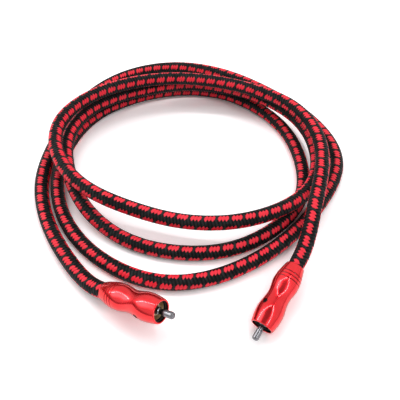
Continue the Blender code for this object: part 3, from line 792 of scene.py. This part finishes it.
def makeHolder(tag):
    edge = holder["edge"]
    profile = [
        (holder["front"], holder["flange"] - edge), (holder["front"] - edge, holder["flange"]),
        (holder["flangeRear"], holder["flange"]), (holder["flangeRear"], holder["body"]),
        (holder["rear"], holder["body"]), (holder["rear"], holder["shankBore"]),
        (holder["step"], holder["shankBore"]), (holder["step"], holder["bore"]),
        (holder["front"], holder["bore"]), (holder["front"], holder["flange"] - edge),
    ]
    piece = turnPiece(f"pinHolder{tag.upper()}", profile, holder["sides"])
    seat(piece, tag, "lead", "black_nylon", [f"insulator_{tag}"])
    return piece


makers = (makeShell, makeLockRing, makeSleeve, makePin, makeCollar, makeHolder)
for tag in plugs:
    [maker(tag) for maker in makers]
    print("plug", tag, "made")

# the solids that stay, and their finishes
keptNodes = {
    "set_screw": "dark_steel", "plug_core": "gold_plate", "cable_clamp": "nickel", "shield_braid": "nickel",
    "inner_jacket": "black_jacket", "dielectric": "clear_foam", "conductor": "copper",
}
for tag in plugs:
    for node, slot in keptNodes.items():
        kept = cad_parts[f"{node}_{tag}"]
        for place in kept.material_slots:
            place.material = materials[slot]

# floor and light
studio = {
    "floorSize": 6.0,
    "floorDrop": 0.02 * mm,
    "floorRoughness": 0.9,
    "floorColour": (0.92, 0.905, 0.91, 1),
    "floorSeen": (1.3, 1.28, 1.29, 1),   # the camera and reflections see it brighter
    "backFill": 0.74,           # the room's even light, from behind
    "frontFill": 0.25,          # and from in front,
    "fillReach": (-0.75, 0.35),    # changing between these
    "darkSide": (-0.87, 0.5),   # in reflections the room is dark low down on this side,
    "darkReach": (-0.1, 0.5),
    "darkLow": 0.02,
    "horizon": 0.5,             # paler low down elsewhere,
    "walls": 1.0,               # bright on its walls
    "wallReach": (-0.02, 0.32),
    "overhead": 0.3,            # and darker straight up
    "overheadReach": (0.8, 0.96),
    "glow": (-0.77, 0.16, 0.62),   # a broad soft light, only in reflections
    "glowReach": (0.90, 0.99),
    "glowStrength": 2.6,
    # name, middle, far end's direction, length, width, watts, shows in reflections
    "lamps": (
        ("leftTube", (-0.515, 0.375, 0.8), (-1.57, 0.21, 0.0), 1.58, 0.035, 4.2, True),
        ("rightTube", (0.38, -0.21, 0.8), (0.22, -0.96, 0.0), 0.98, 0.035, 2.8, True),
        ("backSoftbox", (0.05, 0.62, 0.95), (1.0, 0.0, 0.0), 0.7, 0.7, 1.8, False),
    ),
}


def seenIn(tree, *kinds):
    rays = addNode(tree, "ShaderNodeLightPath")
    seen = 0.0
    for kind in kinds:
        seen = calc(tree, "MAXIMUM", seen, rays.outputs[kind])
    return seen


def makeFloor():
    deselectAll()
    bpy.ops.mesh.primitive_plane_add(size=studio["floorSize"], location=(0, 0, -studio["floorDrop"]))
    floor = bpy.context.object
    floor.name = "paleFloor"
    material, tree, shader = newMaterial("paleFloor", studio["floorRoughness"])
    shader.inputs["Specular IOR Level"].default_value = 0.0
    seen = seenIn(tree, "Is Camera Ray", "Is Glossy Ray", "Is Transmission Ray")
    colour = blendColour(tree, seen, studio["floorColour"], studio["floorSeen"])
    join(tree, colour, shader.inputs["Base Color"])
    floor.data.materials.append(material)


def lightWorld():
    world = bpy.data.worlds.new("studio")
    bpy.context.scene.world = world
    world.use_nodes = True
    tree = world.node_tree
    sky = tree.nodes["Background"]
    sky.inputs["Color"].default_value = (1, 1, 1, 1)
    view = addNode(tree, "ShaderNodeTexCoord").outputs["Generated"]
    split = addNode(tree, "ShaderNodeSeparateXYZ")
    join(tree, view, split.inputs[0])
    viewX, viewY, height = split.outputs
    towardX, towardY = studio["darkSide"]
    facing = calc(tree, "MULTIPLY_ADD", viewX, towardX, calc(tree, "MULTIPLY", viewY, towardY))
    low = ramp(tree, facing, *studio["darkReach"], studio["horizon"], studio["darkLow"])
    walls = ramp(tree, height, *studio["wallReach"], low, studio["walls"])
    ceiling = ramp(tree, height, *studio["overheadReach"], 1.0, studio["overhead"])
    aim = addNode(tree, "ShaderNodeVectorMath", operation="DOT_PRODUCT")
    join(tree, view, aim.inputs[0])
    join(tree, studio["glow"], aim.inputs[1])
    glow = ramp(tree, aim.outputs["Value"], *studio["glowReach"], 0.0, studio["glowStrength"])
    room = calc(tree, "MULTIPLY_ADD", walls, ceiling, glow)
    reflected = seenIn(tree, "Is Glossy Ray", "Is Transmission Ray")
    fill = ramp(tree, viewY, *studio["fillReach"], studio["frontFill"], studio["backFill"])
    lit = calc(tree, "MULTIPLY_ADD", calc(tree, "SUBTRACT", 1.0, reflected), fill,
               calc(tree, "MULTIPLY", reflected, room))
    join(tree, calc(tree, "MAXIMUM", lit, seenIn(tree, "Is Camera Ray")), sky.inputs["Strength"])


def hangLamps():
    for name, place, along, length, width, power, mirrored in studio["lamps"]:
        down = (Vector(camera["floorPoint"]) - Vector(place)).normalized()
        side = Vector(along).normalized()
        across = down.cross(side).normalized()
        side = across.cross(down)
        bpy.ops.object.light_add(type="AREA")
        lamp = bpy.context.object
        lamp.name = name
        lamp.matrix_world = Matrix.Translation(place) @ Matrix((side, across, -down)).transposed().to_4x4()
        lamp.data.shape = "RECTANGLE"
        lamp.data.size = length
        lamp.data.size_y = width
        lamp.data.energy = power
        lamp.visible_glossy = mirrored


def buildStudio():
    makeFloor()
    lightWorld()
    hangLamps()
    bpy.context.scene.view_settings.view_transform = "Standard"
    print("studio made")


buildStudio()
